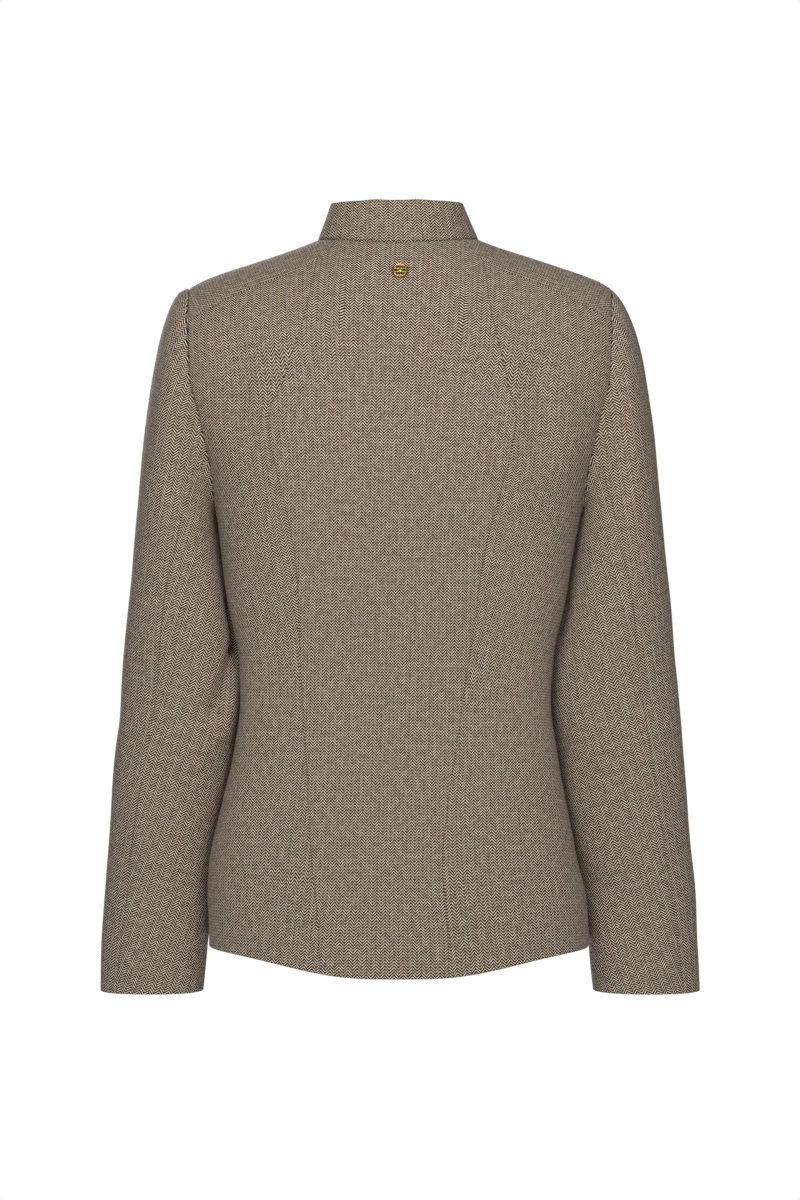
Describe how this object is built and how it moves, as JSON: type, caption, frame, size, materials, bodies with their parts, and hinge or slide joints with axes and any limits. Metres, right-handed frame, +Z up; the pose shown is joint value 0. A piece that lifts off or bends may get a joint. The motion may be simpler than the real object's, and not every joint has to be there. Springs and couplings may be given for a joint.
{
  "type": "blazer",
  "caption": "Women's fitted herringbone wool blazer with a stand collar, shaped back panels, two-piece sleeves and a curved hem, hollow and filled out as worn.",
  "frame": {"origin": "midway between the two points where the shoulder line meets the neck, where the wearer's shoulders hold the blazer up", "axes": "+Z up, +Y behind the wearer (the side that the picture shows), +X to the wearer's left"},
  "size_m": [0.5333, 0.2501, 0.6964],
  "materials": {
    "wool_herringbone": "brown and cream wool in a herringbone weave, matt with a soft nap",
    "gold_metal": "warm gold, polished",
    "dark_horn": "dark brown horn, satin"
  },
  "bodies": {
    "root": {"back_centre": "wool_herringbone", "back_side_left": "wool_herringbone", "back_side_right": "wool_herringbone", "front_side_left": "wool_herringbone", "front_side_right": "wool_herringbone", "front_left": "wool_herringbone", "front_right": "wool_herringbone", "shoulder_strip_left": "wool_herringbone", "shoulder_strip_right": "wool_herringbone", "collar": "wool_herringbone", "sleeve_upper_left": "wool_herringbone", "sleeve_upper_right": "wool_herringbone", "sleeve_under_left": "wool_herringbone", "sleeve_under_right": "wool_herringbone", "badge": "gold_metal", "button_1": "dark_horn", "button_2": "dark_horn", "button_3": "dark_horn", "button_4": "dark_horn"}
  },
  "joints": []
}
